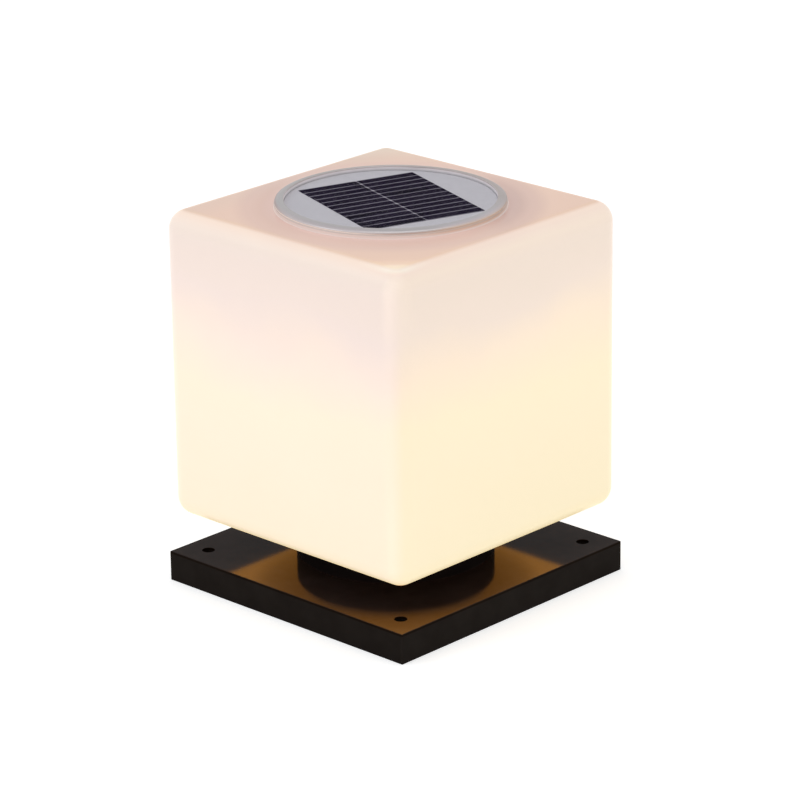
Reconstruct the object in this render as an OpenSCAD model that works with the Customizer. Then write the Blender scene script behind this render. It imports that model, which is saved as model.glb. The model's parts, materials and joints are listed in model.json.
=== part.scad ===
// Solar post light: a square cast plate, a round collar, an opal cube shade and a twist-in solar head.
// Millimetres, +Z up. The origin is the centre of the plate's underside.

/* [Base plate] */
// Side of the square plate
base_w = 200; // [180:1:240]
// Height of the plate
base_t = 19.4; // [14:0.1:30]
// Wall and skin of the cast pan
base_wall = 3; // [2:0.25:5]
// Chamfer along the plate's top edges
base_chamfer = 0.3; // [0.2:0.1:1.5]
// Diameter of the four mounting holes
bolt_d = 8; // [5:0.5:10]
// Distance from the plate's sides to each mounting hole's centre
bolt_inset = 17; // [15:0.5:22]
// Material round each mounting hole
bolt_boss_wall = 5; // [3:0.5:6]
// Thickness of the cross ribs under the plate
rib_t = 3; // [2:0.25:5]

/* [Collar] */
// Outer diameter of the collar
collar_d = 124; // [110:1:150]
// Height of the collar above the plate
collar_h = 18.8; // [16:0.1:30]
// Thickness of the collar's wall
collar_wall = 3.7; // [3:0.1:6]
// Thickness of the collar's floor
collar_floor = 5; // [4:0.25:7]
// Thickness of the gasket under the shade's neck
gasket_t = 1.5; // [1:0.1:2.5]
// Shaft diameter of the screws that hold the collar
collar_screw_d = 4; // [3:0.5:5]
// Diameter of the grub screws that hold the shade's neck
grub_d = 4; // [3:0.5:5]

/* [Shade] */
// Width and depth of the shade
shade_w = 199; // [180:1:240]
// Height of the shade's cube
shade_h = 198.6; // [150:0.2:300]
// Neck left showing between the collar and the shade's underside
shade_gap = 6.2; // [2:0.1:15]
// Wall of the shade
shade_wall = 3.5; // [2.5:0.25:5]
// Radius of the shade's outer edges and corners
shade_r = 12.8; // [8:0.2:20]
// Wall of the shade's neck
neck_wall = 3.5; // [2:0.25:5]
// Outer diameter of the raised rim round the top opening
rim_d = 142.4; // [136:0.2:155]
// Height of the raised rim
rim_h = 2.9; // [2:0.1:6]
// Width of the raised rim
rim_w = 4.4; // [4:0.1:6]

/* [Bezel and panel] */
// Rise of the bezel above its seal
bezel_rise = 2; // [0.8:0.1:3]
// Width of the bezel's visible ring
bezel_w = 5.6; // [5:0.1:8]
// Depth of the panel below the bezel's crest
panel_recess = 1.8; // [1:0.1:3]
// Thickness of the clear cover over the cells
glass_t = 0.8; // [0.6:0.1:1.6]
// Thickness of the cells
cell_t = 0.3; // [0.2:0.05:0.5]
// Thickness of the panel's board
board_t = 1; // [0.8:0.1:1.6]
// Length of one cell strip
strip_l = 39.1; // [20:0.1:42]
// Width of one cell strip
strip_w = 7.45; // [3:0.05:7.8]
// Gap between neighbouring strips
strip_gap = 0.4; // [0.3:0.05:0.5]
// Gap between the two columns of strips
column_gap = 0.8; // [0.5:0.05:1.5]
// Strips in one column
strip_count = 12; // [2:1:12]
// Turn of the cell field about the vertical
cell_turn = -18.9; // [-90:0.1:90]

/* [Solar head] */
// Height of the housing's cup
housing_h = 38.8; // [35:0.2:60]
// Wall of the housing
housing_wall = 2.2; // [1.5:0.1:3]
// Thickness of the housing's cover
cover_t = 2.4; // [2:0.1:4]
// Width of each bayonet lug, as an angle
lug_angle = 20; // [10:1:24]
// Turn from free to locked
lock_angle = 30; // [26:1:40]
// Diameter of the lens over the LEDs
lens_d = 72; // [60:1:74]
// Height of the lens below the cover
lens_h = 9; // [6:0.5:14]
// Number of LEDs in the outer ring
led_count = 12; // [4:1:16]
// Diameter of the power button
button_d = 9.4; // [6:0.2:10]
// Travel of the power button
button_travel = 1.5; // [0.8:0.1:1.8]

/* [Electronics] */
// Diameter of the battery cell
battery_d = 18.4; // [14:0.1:18.6]
// Length of the battery cell
battery_l = 65; // [50:0.5:65.5]
// Width of the control board
control_w = 44; // [36:1:46]
// Height of the standoffs under the control board
standoff_h = 8.6; // [8:0.1:12]

/* [Hidden] */
$fn = 96;

// Overrun of every cut, and clearances
over = 0.5;
thread_gap = 0.05;
fit_gap = 0.3;

// Colours
cast_black = [0.07, 0.06, 0.055];
opal = [0.97, 0.93, 0.86];
silver = [0.67, 0.66, 0.66];
pale = [0.72, 0.70, 0.76];
cell_dark = [0.10, 0.08, 0.14];
moulded_grey = [0.82, 0.82, 0.80];
rubber_black = [0.05, 0.05, 0.05];
steel = [0.75, 0.75, 0.75];

// Plate
half_w = base_w / 2;
pocket_w = base_w - 2 * base_wall;
pocket_h = base_t - base_wall;
bolt_at = half_w - bolt_inset;
bolt_boss_r = bolt_d / 2 + bolt_boss_wall;

// Screws
head_r_share = 0.95;
head_h_share = 0.6;
collar_head_r = head_r_share * collar_screw_d;
collar_head_h = head_h_share * collar_screw_d;
collar_seat_t = 5;
head_room = 0.6;
screw_boss_r = collar_head_r + head_room + rib_t / 2;
small_d = 2;
small_head_r = 1.9;
small_head_h = 1.3;
small_boss_r = 2.6;
socket_share = 0.6;

// Collar
collar_r = collar_d / 2;
collar_top = base_t + collar_h;
collar_bore_r = collar_r - collar_wall;
collar_seat = base_t + collar_floor;
collar_chamfer = 0.8;
collar_screw_count = 4;
screw_circle_inset = 10.3;
screw_circle_r = collar_bore_r - screw_circle_inset;
well_r = screw_circle_r - screw_circle_inset;
collar_screw_l = collar_seat_t + collar_floor - head_room;
grub_count = 3;
grub_rise_share = 0.55;
grub_z = collar_seat + (collar_top - collar_seat) * grub_rise_share;
grub_back = 0.4;
grub_turn = 135;

// Shade
neck_r = collar_bore_r - fit_gap;
neck_in_r = neck_r - neck_wall;
neck_foot = collar_seat + gasket_t;
shade_z = collar_top + shade_gap;
shade_top = shade_z + shade_h;
rim_r = rim_d / 2;
rim_top = shade_top + rim_h;
hole_r = rim_r - rim_w;

// Bayonet
lug_gap = 0.3;
lug_h = 2.6;
lug_reach = 1.7;
lug_top = shade_top - shade_wall - lug_gap;
lug_r = hole_r + lug_reach;
lug_count = 3;
lug_pitch = 360 / lug_count;
lug_turn = 90;
lug_slack = 0.3;
stop_angle = 3;
notch_r = lug_r + fit_gap;
stop_in_r = hole_r + fit_gap;
stop_out_r = notch_r + lug_reach;

// Bezel and panel
seal_t = 0.4;
seal_w = 1.9;
bezel_setback = 0.4;
bezel_r = rim_r - bezel_setback;
bezel_low = rim_top + seal_t;
bezel_top = bezel_low + bezel_rise;
bezel_edge = 0.2;
bezel_in_r = bezel_r - bezel_w;
skirt_gap = 0.5;
skirt_r = hole_r - skirt_gap;
panel_gap = 0.3;
panel_r = bezel_in_r - panel_gap;
panel_top = bezel_top - panel_recess;
glass_z = panel_top - glass_t;
cell_z = glass_z - cell_t;
board_z = cell_z - board_t;
ledge_w = 4.5;
ledge_r = bezel_in_r - ledge_w;
flange_rise = 0.8;
bezel_foot = lug_top + flange_rise;
field_w = strip_count * (strip_w + strip_gap) - strip_gap;
ribbon_share = 0.75;

// Housing
housing_inset = 5.3;
housing_r = hole_r - housing_inset;
housing_in_r = housing_r - housing_wall;
flange_r = skirt_r - panel_gap;
flange_t = 2;
flange_screw_r = (housing_r + flange_r) / 2;
flange_screw_turn = lug_turn + lug_pitch / 2;
flange_screw_l = flange_t + (board_z - bezel_foot) - head_room;
housing_foot = bezel_foot - housing_h;
cover_seal_t = 0.8;
cover_seal_inset = 0.3;
cover_top = housing_foot - cover_seal_t;
cover_z = cover_top - cover_t;
cover_screw_count = 4;
cover_screw_turn = 45;
cover_boss_r = 3;
cover_boss_h = 14;
cover_screw_r = housing_in_r - cover_boss_r + head_room;
cover_screw_l = cover_t + cover_seal_t + cover_boss_h / 2;

// LED board and lens
led_board_t = 1.2;
lens_r = lens_d / 2;
lens_wall = 1.6;
lens_lip_w = 8;
lens_lip_t = 2;
lens_round = lens_h / 2;
lens_screw_count = 2;
lens_screw_r = lens_r + lens_lip_w / 2;
lens_boss_h = 4;
lens_screw_l = lens_lip_t + cover_t + lens_boss_h / 2;
led_board_r = lens_r - lens_wall - fit_gap;
led_ring_share = 0.74;
led_l = 3.5;
led_w = 2.8;
led_h = 0.8;
wire_hole_r = 3;
wire_hole_back = 10;

// Power button and switch
button_r = button_d / 2;
button_wall_gap = 4.6;
button_at = -(housing_in_r - button_r - button_wall_gap);
button_flange_w = 1.4;
button_flange_t = 1;
button_out = 2;
button_dome = 0.8;
stem_r = 1.5;
stem_l = 4.8;
stem_play = 0.6;
stem_top = cover_top + button_flange_t + stem_l;
switch_w = 7;
switch_play = 0.6;
switch_foot = cover_top + button_flange_t + button_travel + switch_play;

// Control board
control_t = 1.6;
control_z = cover_top + standoff_h;
control_top = control_z + control_t;
control_back = 4;
control_front = button_at - switch_w / 2 - head_room;
control_hole_inset = 4;
board_screw_l = control_t + standoff_h / 2;

// Parts on the control board
coil_r = 4;
coil_h = 5;
can_r = 3.2;
can_h = 8;
chip_w = 5;
chip_l = 6;
chip_h = 1.6;
sensor_w = 4;
sensor_h = 1.2;
socket_w = 8;
socket_d = 5;
socket_h = 5.5;
socket_back = 12;

// Battery
holder_wall = 1.5;
holder_gap = 0.15;
contact_room = 9;
holder_in_l = battery_l + contact_room;
holder_in_w = battery_d + 2 * holder_gap;
holder_back_gap = 10;
holder_y = control_back + holder_back_gap + holder_in_w / 2 + holder_wall;
battery_r = battery_d / 2;
battery_z = cover_top + holder_wall + holder_gap + battery_r;
holder_rise_share = 1.4;
holder_h = holder_wall + holder_gap + battery_r * holder_rise_share;
contact_t = 0.4;
contact_w = 10;
contact_tab = 2.1;
nub_l = 1;
nub_r = 3;
battery_x1 = holder_in_l / 2 - contact_t - nub_l;
battery_x0 = battery_x1 - battery_l;
spring_r = 4.5;

// Wires
wire_r = 0.7;
wire_sides = 8;
wire_steps = 14;
wire_offset = 4;
battery_wire_bow = 24;

// A tube with its axis along Z, standing at z
module tube(outer, inner, z, h) {
  translate([0, 0, z])
    difference() {
      cylinder(r = outer, h = h);
      translate([0, 0, -over])
        cylinder(r = inner, h = h + 2 * over);
    }
}

// Copies at even turns about Z, at radius r, the first at angle first
module around(count, r, first = 0) {
  for (i = [0 : count - 1])
    rotate(first + 360 * i / count)
      translate([r, 0, 0])
        children();
}

// A screw whose shaft points up from the origin and whose head hangs below it
module screw(shaft_r, length, head_r, head_h) {
  root = head_h * (1 - socket_share) / 2;
  difference() {
    union() {
      translate([0, 0, -root])
        cylinder(r = shaft_r, h = length + root);
      translate([0, 0, -head_h])
        cylinder(r = head_r, h = head_h);
    }
    translate([0, 0, -head_h - over])
      cylinder(r = head_r * socket_share, h = head_h * socket_share + over, $fn = 6);
  }
}

module small_screw(length) {
  screw(small_d / 2, length, small_head_r, small_head_h);
}

// A block with every edge and corner rounded, standing at z = 0
module rounded_block(w, h, r) {
  steps = 8;
  column = concat(
    [[0, 0]],
    [for (i = [1 : steps]) [r * sin(90 * i / steps), r - r * cos(90 * i / steps)]],
    [for (i = [0 : steps]) [r * cos(90 * i / steps), h - r + r * sin(90 * i / steps)]]
  );
  hull()
    for (x = [-1, 1], y = [-1, 1])
      translate([x * (w / 2 - r), y * (w / 2 - r), 0])
        rotate_extrude($fn = 4 * steps)
          polygon(column);
}

// A round wire from a to b, both ends upright, that bows up or down by reach
module wire(a, b, reach_a, reach_b) {
  side = cross([b.x - a.x, b.y - a.y, 0], [0, 0, 1]) / norm([b.x - a.x, b.y - a.y]);
  p1 = a + [0, 0, reach_a];
  p2 = b + [0, 0, reach_b];
  function at(t) = a * pow(1 - t, 3) + 3 * p1 * t * pow(1 - t, 2) + 3 * p2 * t * t * (1 - t) + b * pow(t, 3);
  function way(t) = (p1 - a) * pow(1 - t, 2) + 2 * (p2 - p1) * t * (1 - t) + (b - p2) * t * t;
  rings = [for (i = [0 : wire_steps])
    let (t = i / wire_steps, f = way(t) / norm(way(t)), up = cross(side, f))
      [for (k = [0 : wire_sides - 1])
        at(t) + wire_r * (side * cos(360 * k / wire_sides) + up * sin(360 * k / wire_sides))]];
  points = [for (ring = rings) each ring];
  last = wire_steps * wire_sides;
  faces = concat(
    [[for (k = [wire_sides - 1 : -1 : 0]) k]],
    [for (i = [0 : wire_steps - 1], k = [0 : wire_sides - 1])
      let (n = (k + 1) % wire_sides, row = i * wire_sides)
        [row + k, row + n, row + wire_sides + n, row + wire_sides + k]],
    [[for (k = [0 : wire_sides - 1]) last + k]]
  );
  polyhedron(points, faces, convexity = 4);
}

module plate_block() {
  profile = [
    [-half_w, 0], [half_w, 0], [half_w, base_t - base_chamfer], [half_w - base_chamfer, base_t],
    [base_chamfer - half_w, base_t], [-half_w, base_t - base_chamfer]
  ];
  intersection() {
    rotate([90, 0, 0])
      linear_extrude(base_w, center = true)
        polygon(profile);
    rotate([90, 0, 90])
      linear_extrude(base_w, center = true)
        polygon(profile);
  }
}

module at_bolts() {
  for (x = [-1, 1], y = [-1, 1])
    translate([x * bolt_at, y * bolt_at, 0])
      children();
}

module base_plate() {
  rib_l = pocket_w + base_wall;
  rib_h = pocket_h + base_wall / 2;
  color(cast_black)
    difference() {
      union() {
        difference() {
          plate_block();
          translate([-pocket_w / 2, -pocket_w / 2, -over])
            cube([pocket_w, pocket_w, pocket_h + over]);
        }
        translate([-rib_l / 2, -rib_t / 2, 0])
          cube([rib_l, rib_t, rib_h]);
        translate([-rib_t / 2, -rib_l / 2, 0])
          cube([rib_t, rib_l, rib_h]);
        at_bolts()
          cylinder(r = bolt_boss_r, h = rib_h);
        around(collar_screw_count, screw_circle_r)
          cylinder(r = screw_boss_r, h = rib_h);
      }
      at_bolts()
        translate([0, 0, -over])
          cylinder(d = bolt_d, h = base_t + 2 * over);
      around(collar_screw_count, screw_circle_r) {
        translate([0, 0, -over])
          cylinder(r = collar_head_r + head_room, h = base_t - collar_seat_t + over);
        cylinder(r = collar_screw_d / 2 + fit_gap, h = base_t + over);
      }
    }
}

module collar() {
  color(cast_black)
    difference() {
      rotate_extrude()
        polygon([
          [well_r, base_t], [collar_r, base_t], [collar_r, collar_top - collar_chamfer],
          [collar_r - collar_chamfer, collar_top], [collar_bore_r, collar_top],
          [collar_bore_r, collar_seat], [well_r, collar_seat]
        ]);
      around(collar_screw_count, screw_circle_r)
        translate([0, 0, base_t - over])
          cylinder(r = collar_screw_d / 2 + thread_gap, h = collar_floor - head_room / 2 + over);
      around(grub_count, neck_r - over, grub_turn)
        translate([0, 0, grub_z])
          rotate([0, 90, 0])
            cylinder(r = grub_d / 2 + thread_gap, h = collar_wall + fit_gap + 2 * over);
    }
}

module collar_screws() {
  color(steel)
    around(collar_screw_count, screw_circle_r)
      translate([0, 0, base_t - collar_seat_t])
        screw(collar_screw_d / 2, collar_screw_l, collar_head_r, collar_head_h);
}

module neck_gasket() {
  color(rubber_black)
    tube(neck_r, neck_in_r, collar_seat, gasket_t);
}

module grub_screws() {
  length = collar_r - grub_back - neck_r - thread_gap;
  color(steel)
    around(grub_count, neck_r + thread_gap, grub_turn)
      translate([0, 0, grub_z])
        rotate([0, 90, 0])
          difference() {
            cylinder(d = grub_d, h = length);
            translate([0, 0, length * (1 - socket_share)])
              cylinder(d = grub_d * socket_share, h = length, $fn = 6);
          }
}

// A ring sector between two radii, from z, over angle, starting at from
module sector(inner, outer, z, h, from, angle) {
  rotate(from)
    rotate_extrude(angle = angle)
      translate([inner, z])
        square([outer - inner, h]);
}

module shade() {
  notch_half = lug_angle / 2 + lug_slack;
  floor_over = shade_wall + over;
  stop_h = shade_top - shade_wall - (lug_top - lug_h);
  color(opal)
    difference() {
      union() {
        difference() {
          union() {
            translate([0, 0, shade_z])
              rounded_block(shade_w, shade_h, shade_r);
            translate([0, 0, neck_foot])
              cylinder(r = neck_r, h = shade_z + shade_wall - neck_foot);
            translate([0, 0, shade_top - shade_wall])
              cylinder(r = rim_r, h = shade_wall + rim_h);
          }
          translate([0, 0, shade_z + shade_wall])
            rounded_block(shade_w - 2 * shade_wall, shade_h - 2 * shade_wall, shade_r - shade_wall);
          translate([0, 0, neck_foot - over])
            cylinder(r = neck_in_r, h = shade_z + floor_over + over - neck_foot);
        }
        for (i = [0 : lug_count - 1], from = [notch_half, -lock_angle - notch_half - stop_angle])
          sector(stop_in_r, stop_out_r, lug_top - lug_h, stop_h + shade_wall / 2,
            lug_turn + lug_pitch * i + from, stop_angle);
      }
      translate([0, 0, shade_top - floor_over])
        cylinder(r = hole_r, h = floor_over + rim_h + over);
      for (i = [0 : lug_count - 1])
        sector(hole_r - over, notch_r, shade_top - floor_over, floor_over + rim_h + over,
          lug_turn + lug_pitch * i - notch_half, 2 * notch_half);
    }
}

module bezel() {
  steps = 8;
  crest = [for (i = [0 : steps])
    [bezel_in_r + bezel_edge + (bezel_w - bezel_edge) * cos(90 * i / steps),
      bezel_low + bezel_edge + (bezel_rise - bezel_edge) * sin(90 * i / steps)]];
  color(silver)
    difference() {
      rotate_extrude()
        polygon(concat(
          [[ledge_r, bezel_foot], [skirt_r, bezel_foot], [skirt_r, bezel_low], [bezel_r, bezel_low]],
          crest,
          [[bezel_in_r, bezel_top - bezel_edge], [bezel_in_r, board_z], [ledge_r, board_z]]
        ));
      around(lug_count, flange_screw_r, flange_screw_turn)
        translate([0, 0, bezel_foot - over])
          cylinder(r = small_d / 2 + thread_gap, h = flange_screw_l - flange_t + head_room / 2 + over);
    }
}

module bezel_seal() {
  color(rubber_black)
    tube(bezel_r - thread_gap, rim_r - seal_w, rim_top, seal_t);
}

module bezel_screws() {
  color(steel)
    around(lug_count, flange_screw_r, flange_screw_turn)
      translate([0, 0, bezel_foot - flange_t])
        small_screw(flange_screw_l);
}

module panel_board() {
  color(pale)
    translate([0, 0, board_z])
      cylinder(r = panel_r, h = board_t);
}

// Places of the strips along the field, from one end to the other
function strip_y(i) = (i - (strip_count - 1) / 2) * (strip_w + strip_gap);

module solar_cells() {
  color(cell_dark)
    rotate(cell_turn)
      for (x = [-1, 1], i = [0 : strip_count - 1])
        translate([strip_y(i), x * (strip_l + column_gap) / 2, cell_z + cell_t / 2])
          cube([strip_w, strip_l, cell_t], center = true);
}

module cell_ribbons() {
  color(pale)
    rotate(cell_turn)
      translate([0, 0, cell_z + cell_t / 2]) {
        cube([field_w, column_gap * ribbon_share, cell_t], center = true);
        for (i = [1 : strip_count - 1])
          translate([(strip_y(i - 1) + strip_y(i)) / 2, 0, 0])
            cube([strip_gap * ribbon_share, 2 * strip_l + column_gap, cell_t], center = true);
      }
}

module panel_glass() {
  color([0.9, 0.93, 0.95, 0.3])
    translate([0, 0, glass_z])
      cylinder(r = panel_r, h = glass_t);
}

module housing() {
  color(moulded_grey)
    difference() {
      union() {
        rotate_extrude()
          polygon([
            [housing_in_r, housing_foot], [housing_r, housing_foot], [housing_r, bezel_foot - flange_t],
            [flange_r, bezel_foot - flange_t], [flange_r, bezel_foot], [housing_in_r, bezel_foot]
          ]);
        for (i = [0 : lug_count - 1])
          sector(housing_r - housing_wall / 2, lug_r, lug_top - lug_h, lug_h,
            lug_turn + lug_pitch * i - lug_angle / 2, lug_angle);
        around(cover_screw_count, cover_screw_r, cover_screw_turn)
          translate([0, 0, housing_foot])
            cylinder(r = cover_boss_r, h = cover_boss_h);
      }
      around(lug_count, flange_screw_r, flange_screw_turn)
        translate([0, 0, bezel_foot - flange_t - over])
          cylinder(r = small_d / 2 + 2 * thread_gap, h = flange_t + 2 * over);
      around(cover_screw_count, cover_screw_r, cover_screw_turn)
        translate([0, 0, housing_foot - over])
          cylinder(r = small_d / 2 + thread_gap, h = cover_boss_h - head_room + over);
    }
}

module housing_cover() {
  color(moulded_grey)
    difference() {
      union() {
        translate([0, 0, cover_z])
          cylinder(r = housing_r, h = cover_t);
        at_standoffs()
          translate([0, 0, cover_top - cover_t / 2])
            cylinder(r = small_boss_r, h = standoff_h + cover_t / 2);
        around(lens_screw_count, lens_screw_r)
          translate([0, 0, cover_top - cover_t / 2])
            cylinder(r = small_boss_r, h = lens_boss_h + cover_t / 2);
      }
      at_standoffs()
        translate([0, 0, control_z - standoff_h / 2 - head_room])
          cylinder(r = small_d / 2 + thread_gap, h = standoff_h);
      around(lens_screw_count, lens_screw_r)
        translate([0, 0, cover_z - over])
          cylinder(r = small_d / 2 + thread_gap, h = lens_screw_l - lens_lip_t + head_room / 2 + over);
      around(cover_screw_count, cover_screw_r, cover_screw_turn)
        translate([0, 0, cover_z - over])
          cylinder(r = small_d / 2 + 2 * thread_gap, h = cover_t + 2 * over);
      translate([0, button_at, cover_z - over])
        cylinder(r = button_r + fit_gap, h = cover_t + 2 * over);
      translate([0, -wire_hole_back, cover_z - over])
        cylinder(r = wire_hole_r, h = cover_t + 2 * over);
    }
}

module cover_seal() {
  color(rubber_black)
    tube(housing_r - cover_seal_inset, housing_in_r + cover_seal_inset, cover_top, cover_seal_t);
}

module cover_screws() {
  color(steel)
    around(cover_screw_count, cover_screw_r, cover_screw_turn)
      translate([0, 0, cover_z])
        small_screw(cover_screw_l);
}

module led_board() {
  color("white")
    translate([0, 0, cover_z - led_board_t])
      cylinder(r = led_board_r, h = led_board_t);
}

module leds() {
  color([1, 0.9, 0.55])
    translate([0, 0, cover_z - led_board_t - led_h / 2]) {
      around(led_count, led_board_r * led_ring_share)
        cube([led_w, led_l, led_h], center = true);
      around(led_count / 2, led_board_r * led_ring_share / 2)
        cube([led_w, led_l, led_h], center = true);
    }
}

module led_lens() {
  steps = 6;
  outer = [for (i = [0 : steps])
    [lens_r - lens_round + lens_round * cos(90 * i / steps),
      lens_round - lens_h - lens_round * sin(90 * i / steps)]];
  inner = [for (i = [steps : -1 : 0])
    [lens_r - lens_round + (lens_round - lens_wall) * cos(90 * i / steps),
      lens_round - lens_h - (lens_round - lens_wall) * sin(90 * i / steps)]];
  color([0.95, 0.95, 0.95, 0.6])
    difference() {
      translate([0, 0, cover_z])
        rotate_extrude()
          polygon(concat(
            [[lens_r + lens_lip_w, 0], [lens_r + lens_lip_w, -lens_lip_t], [lens_r, -lens_lip_t]],
            outer,
            [[0, -lens_h], [0, lens_wall - lens_h]],
            inner,
            [[lens_r - lens_wall, 0]]
          ));
      around(lens_screw_count, lens_screw_r)
        translate([0, 0, cover_z - lens_lip_t - over])
          cylinder(r = small_d / 2 + 2 * thread_gap, h = lens_lip_t + 2 * over);
      translate([0, button_at, cover_z - lens_lip_t - over])
        cylinder(r = button_r + 2 * fit_gap, h = lens_lip_t + 2 * over);
    }
}

module lens_screws() {
  color(steel)
    around(lens_screw_count, lens_screw_r)
      translate([0, 0, cover_z - lens_lip_t])
        small_screw(lens_screw_l);
}

module at_standoffs() {
  hole_x = control_w / 2 - control_hole_inset;
  for (x = [-hole_x, hole_x], y = [control_front + control_hole_inset, control_back - control_hole_inset])
    translate([x, y, 0])
      children();
}

module control_board() {
  color([0.1, 0.35, 0.2])
    difference() {
      translate([-control_w / 2, control_front, control_z])
        cube([control_w, control_back - control_front, control_t]);
      at_standoffs()
        translate([0, 0, control_z - over])
          cylinder(r = small_d / 2 + 2 * thread_gap, h = control_t + 2 * over);
    }
}

module board_screws() {
  color(steel)
    at_standoffs()
      translate([0, 0, control_top])
        mirror([0, 0, 1])
          small_screw(board_screw_l);
}

module board_parts() {
  mid_y = (control_front + control_back) / 2;
  color([0.15, 0.15, 0.16])
    translate([0, mid_y, control_top]) {
      translate([-control_w / 4, 0, 0])
        cylinder(r = coil_r, h = coil_h);
      translate([control_w / 4, 0, 0])
        cylinder(r = can_r, h = can_h);
      translate([-chip_w / 2, -chip_l / 2, 0])
        cube([chip_w, chip_l, chip_h]);
      translate([-sensor_w / 2, -chip_l - sensor_w, 0])
        cube([sensor_w, sensor_w, sensor_h]);
      for (x = [-control_w / 4, control_w / 4])
        translate([x - socket_w / 2, socket_back, 0])
          cube([socket_w, socket_d, socket_h]);
    }
}

module battery_holder() {
  holder_l = holder_in_l + 2 * holder_wall;
  holder_w = holder_in_w + 2 * holder_wall;
  color([0.12, 0.12, 0.13])
    translate([0, holder_y, cover_top])
      difference() {
        translate([-holder_l / 2, -holder_w / 2, 0])
          cube([holder_l, holder_w, holder_h]);
        translate([-holder_in_l / 2, -holder_in_w / 2, holder_wall])
          cube([holder_in_l, holder_in_w, holder_h]);
      }
}

module battery() {
  color([0.15, 0.3, 0.6])
    translate([battery_x0, holder_y, battery_z])
      rotate([0, 90, 0]) {
        cylinder(r = battery_r, h = battery_l);
        cylinder(r = nub_r, h = battery_l + nub_l);
      }
}

module battery_contacts() {
  tab_h = holder_h - holder_wall + contact_tab;
  spring_l = battery_x0 + holder_in_l / 2 - contact_t;
  color(steel)
    translate([0, holder_y, 0]) {
      translate([holder_in_l / 2 - contact_t, -contact_w / 2, cover_top + holder_wall])
        cube([contact_t, contact_w, tab_h]);
      translate([-holder_in_l / 2, -contact_w / 2, cover_top + holder_wall])
        cube([contact_t, contact_w, tab_h]);
      translate([contact_t - holder_in_l / 2, 0, battery_z])
        rotate([0, 90, 0])
          cylinder(r1 = spring_r, r2 = nub_r, h = spring_l);
    }
}

module tact_switch() {
  color([0.1, 0.1, 0.1])
    difference() {
      translate([-switch_w / 2, button_at - switch_w / 2, switch_foot])
        cube([switch_w, switch_w, control_z - switch_foot]);
      translate([0, button_at, switch_foot - over])
        cylinder(r = stem_r + fit_gap, h = stem_top + button_travel + stem_play - switch_foot + over);
    }
}

module switch_stem() {
  color([0.8, 0.8, 0.8])
    translate([0, button_at, stem_top - stem_l])
      cylinder(r = stem_r, h = stem_l);
}

module power_button() {
  steps = 4;
  foot = cover_z - button_out;
  dome = [for (i = [0 : steps])
    [(button_r - button_dome) + button_dome * sin(90 * i / steps),
      foot + button_dome * (1 - cos(90 * i / steps))]];
  color(rubber_black)
    translate([0, button_at, 0])
      rotate_extrude()
        polygon(concat(
          [[0, foot]],
          dome,
          [[button_r, cover_top], [button_r + button_flange_w, cover_top],
            [button_r + button_flange_w, cover_top + button_flange_t], [0, cover_top + button_flange_t]]
        ));
}

module panel_wires() {
  color([0.7, 0.1, 0.08])
    for (x = [-wire_offset, wire_offset])
      wire([x, -wire_hole_back, board_z], [x * 2, -2 * wire_hole_back, control_top],
        (control_top - board_z) / 2, (board_z - control_top) / 2);
}

module battery_wires() {
  tab_top = cover_top + holder_h + contact_tab;
  color([0.1, 0.1, 0.1])
    for (x = [-1, 1])
      wire([x * (holder_in_l - contact_t) / 2, holder_y, tab_top],
        [x * control_w / 4, control_back / 4, control_top], battery_wire_bow, battery_r);
}

module led_wires() {
  color([0.9, 0.9, 0.9])
    for (x = [-wire_hole_r / 2, wire_hole_r / 2])
      translate([x, -wire_hole_back, cover_z])
        cylinder(r = wire_r, h = control_z - cover_z);
}

base_plate();
collar();
collar_screws();
neck_gasket();
grub_screws();
shade();
bezel();
bezel_seal();
bezel_screws();
panel_board();
solar_cells();
cell_ribbons();
panel_glass();
housing();
housing_cover();
cover_seal();
cover_screws();
led_board();
leds();
led_lens();
lens_screws();
control_board();
board_parts();
board_screws();
battery_holder();
battery();
battery_contacts();
tact_switch();
switch_stem();
power_button();
panel_wires();
battery_wires();
led_wires();
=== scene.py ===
import json
import math

import bmesh
import bpy
from mathutils import Matrix, Vector

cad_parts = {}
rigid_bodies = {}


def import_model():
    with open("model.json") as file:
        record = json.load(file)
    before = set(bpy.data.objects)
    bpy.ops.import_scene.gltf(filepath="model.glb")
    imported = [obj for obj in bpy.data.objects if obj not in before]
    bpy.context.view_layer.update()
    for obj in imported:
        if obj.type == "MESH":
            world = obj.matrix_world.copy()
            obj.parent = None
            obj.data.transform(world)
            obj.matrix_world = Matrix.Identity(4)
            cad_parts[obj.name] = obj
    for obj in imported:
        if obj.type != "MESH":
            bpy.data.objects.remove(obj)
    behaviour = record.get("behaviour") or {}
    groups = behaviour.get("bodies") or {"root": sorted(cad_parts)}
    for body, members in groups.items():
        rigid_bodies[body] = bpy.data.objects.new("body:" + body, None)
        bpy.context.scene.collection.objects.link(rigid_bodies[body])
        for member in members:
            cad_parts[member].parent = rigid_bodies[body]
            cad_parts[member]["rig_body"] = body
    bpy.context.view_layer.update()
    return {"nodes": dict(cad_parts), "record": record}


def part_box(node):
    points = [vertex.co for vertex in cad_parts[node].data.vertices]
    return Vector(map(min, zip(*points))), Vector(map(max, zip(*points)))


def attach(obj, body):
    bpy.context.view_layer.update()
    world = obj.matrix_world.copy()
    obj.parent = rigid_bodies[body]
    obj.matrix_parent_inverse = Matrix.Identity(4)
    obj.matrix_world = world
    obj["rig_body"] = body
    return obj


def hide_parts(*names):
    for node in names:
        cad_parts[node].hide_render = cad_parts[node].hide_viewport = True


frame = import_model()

MM = 0.001
WHITE = (1.0, 1.0, 1.0)
BLACK = (0.0, 0.0, 0.0)

# Directions in the frame: the photographed corner, the right of the photograph, and up
FRONT = (0.7071, -0.7071, 0)
RIGHT = (0.7071, 0.7071, 0)
UP = (0, 0, 1)

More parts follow.
